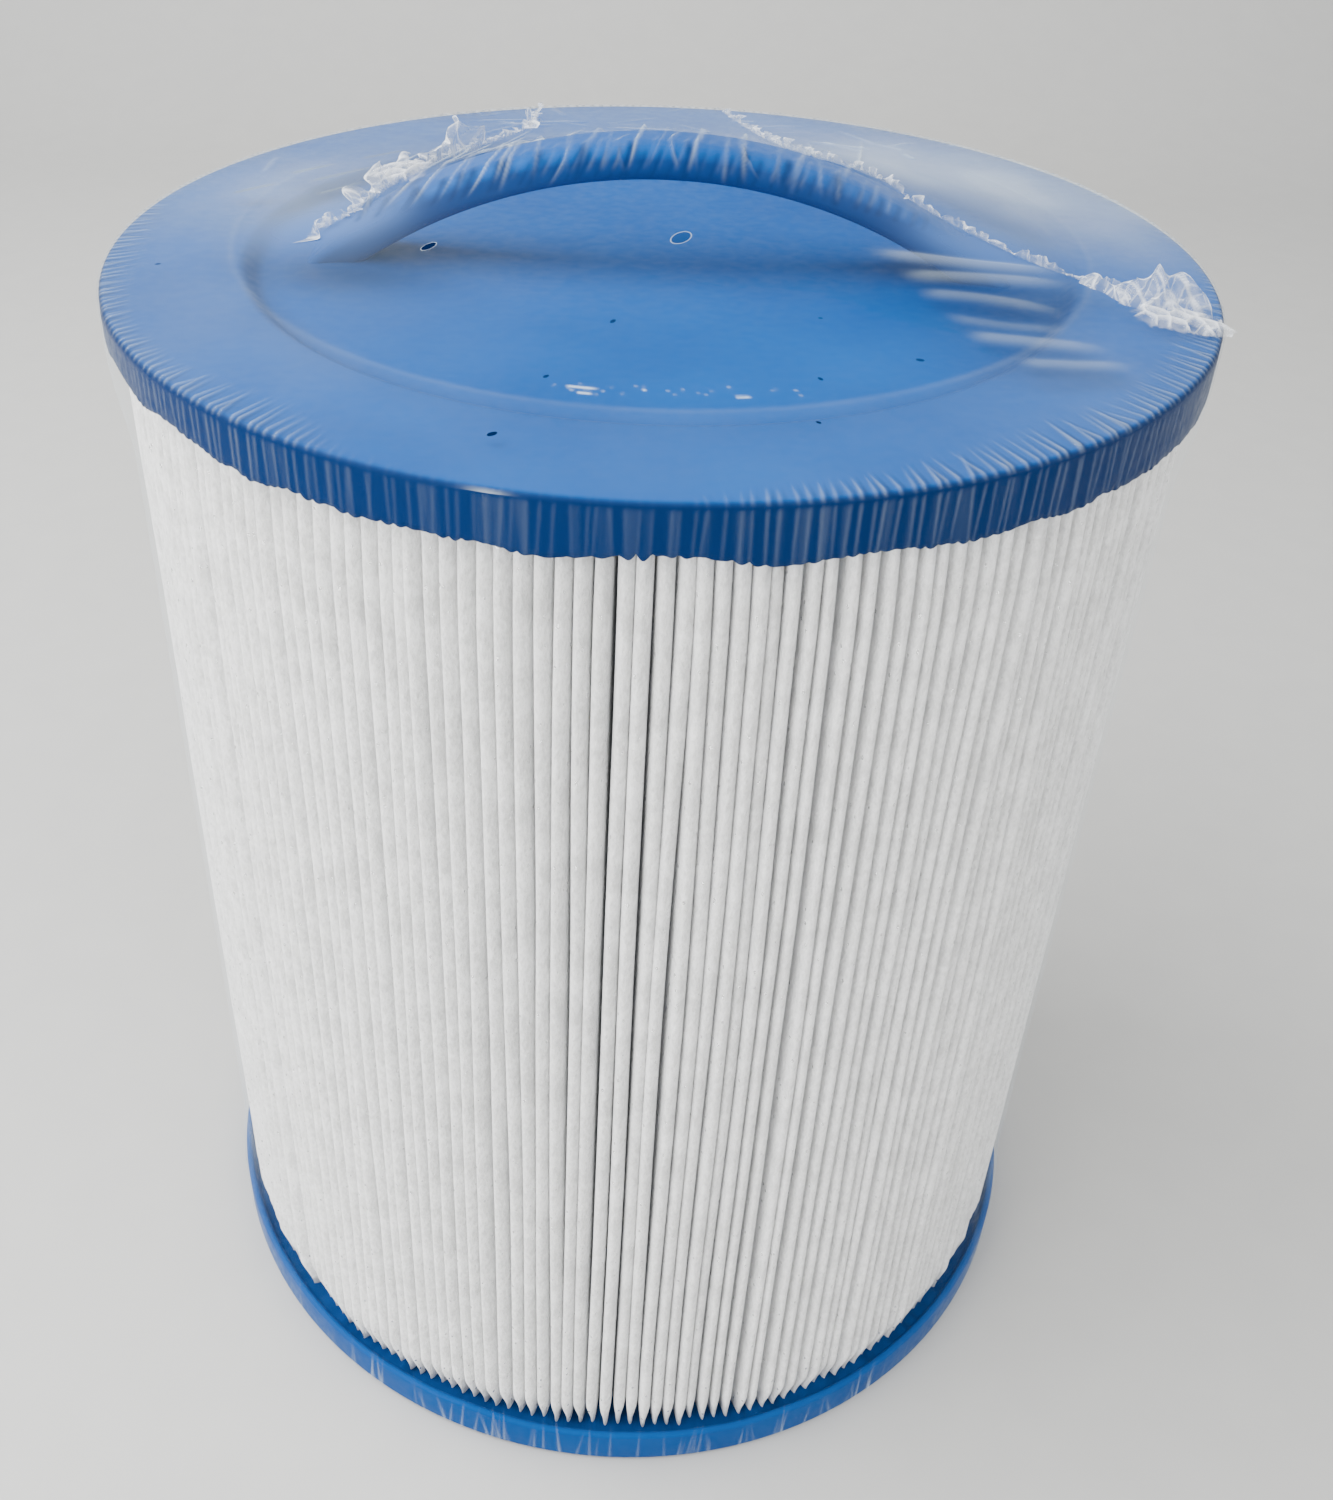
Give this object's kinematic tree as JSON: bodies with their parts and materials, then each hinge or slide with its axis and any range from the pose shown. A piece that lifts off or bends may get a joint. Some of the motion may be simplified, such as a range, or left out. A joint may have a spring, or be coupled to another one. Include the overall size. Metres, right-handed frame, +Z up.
{
  "type": "filter cartridge",
  "caption": "Cylindrical pleated water filter cartridge with solid end caps, an arched lifting strap, a perforated core and a bottom outlet bore, in clear shrink wrap.",
  "frame": {"origin": "centre of the bottom face", "axes": "+Z up the cartridge's axis, +X along the lifting strap"},
  "size_m": [0.2168, 0.2168, 0.2799],
  "materials": {
    "end_cap": "moulded polyurethane, satin",
    "media": "spunbonded polyester, matte",
    "core": "moulded, satin",
    "film": "clear shrink film",
    "film_bead": "fused and crumpled clear film"
  },
  "bodies": {
    "root": {"top_end_cap": "end_cap", "lifting_strap": "end_cap", "bottom_end_cap": "end_cap", "pleated_media": "media", "centre_core": "core", "film_sleeve": "film", "film_top": "film", "film_seam": "film_bead", "film_ear_right": "film_bead", "film_ear_left": "film_bead"}
  },
  "joints": []
}
